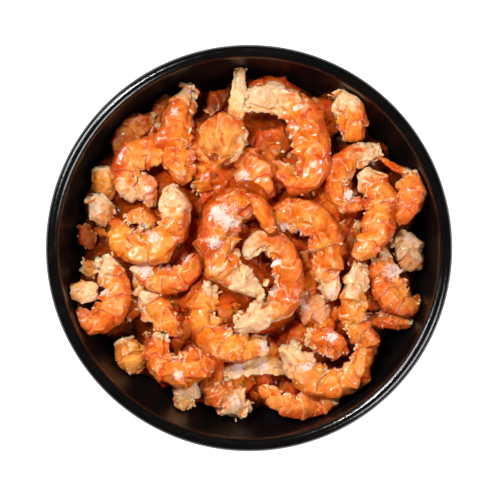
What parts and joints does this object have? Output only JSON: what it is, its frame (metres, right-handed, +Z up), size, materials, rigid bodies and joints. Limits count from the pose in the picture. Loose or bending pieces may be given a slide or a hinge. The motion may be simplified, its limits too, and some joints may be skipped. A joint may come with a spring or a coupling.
{
  "type": "bowl of dried shrimp",
  "caption": "Small round black glazed bowl on a foot ring, heaped with curled, headless dried shrimp in orange, pink and cream.",
  "frame": {"origin": "on the bowl's axis, in the plane that its foot ring stands on", "axes": "+Z up along the bowl's axis; +X to the right and +Y away from the viewer of the picture, who looks straight down"},
  "size_m": [0.11, 0.11, 0.0506],
  "materials": {
    "black_glaze": "black glaze between satin and gloss, with faint specks",
    "dried_shrimp": "waxy orange flesh with cream torn ends and pinkish white dry patches"
  },
  "bodies": {
    "root": {"bowl": "black_glaze", "shrimp_heap": "dried_shrimp"}
  },
  "joints": []
}
